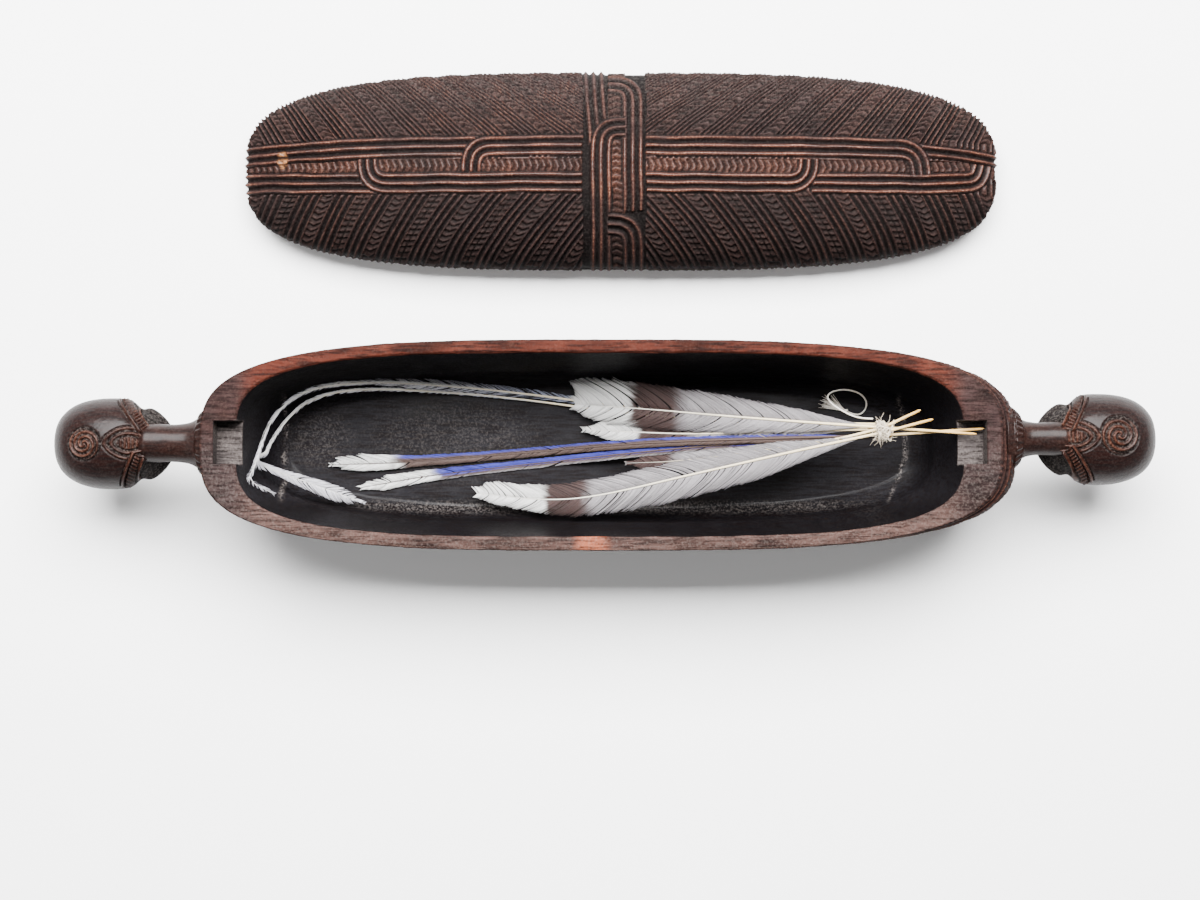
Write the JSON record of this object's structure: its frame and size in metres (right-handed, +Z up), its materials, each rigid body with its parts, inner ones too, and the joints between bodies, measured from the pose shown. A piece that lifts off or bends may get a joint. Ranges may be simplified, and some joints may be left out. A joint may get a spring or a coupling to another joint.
{
  "type": "carved treasure box",
  "caption": "Long lidded wooden treasure box with a carved head at each end, its domed lid laid beside it and a tied bundle of feathers in the bowl.",
  "frame": {"origin": "centre of the box's flat foot", "axes": "+X along the box, from the left head to the right one; +Y towards the lid; +Z up"},
  "size_m": [0.55, 0.2493, 0.066],
  "materials": {
    "dark_wood": "satin, worn reddish brown on the raised edges",
    "banded_feather": "matte pale grey vane with a brown band and a white tip",
    "violet_feather": "matte violet-blue and brown with a white tip",
    "white_feather": "matte white",
    "thread": "matte twisted thread",
    "string": "matte white string"
  },
  "bodies": {
    "box": {"carved_box": "dark_wood"},
    "lid": {"lid": "dark_wood"},
    "feather_bundle": {"banded_feather_upper": "banded_feather", "banded_feather_under": "banded_feather", "banded_feather_lower": "banded_feather", "banded_feather_back": "banded_feather", "violet_feather_upper": "violet_feather", "violet_feather_lower": "violet_feather", "curved_feather_outer": "white_feather", "curved_feather_inner": "white_feather", "thread_binding": "thread", "hanging_string": "string", "string_knot": "string", "string_tassel": "string"}
  },
  "joints": [
    {"name": "lid_lift", "type": "slide", "parent": "box", "child": "lid", "axis": [0, 0, 1], "range_m": [0, 0.12]},
    {"name": "bundle_lift", "type": "slide", "parent": "box", "child": "feather_bundle", "axis": [0, 0, 1], "range_m": [0, 0.1]}
  ]
}
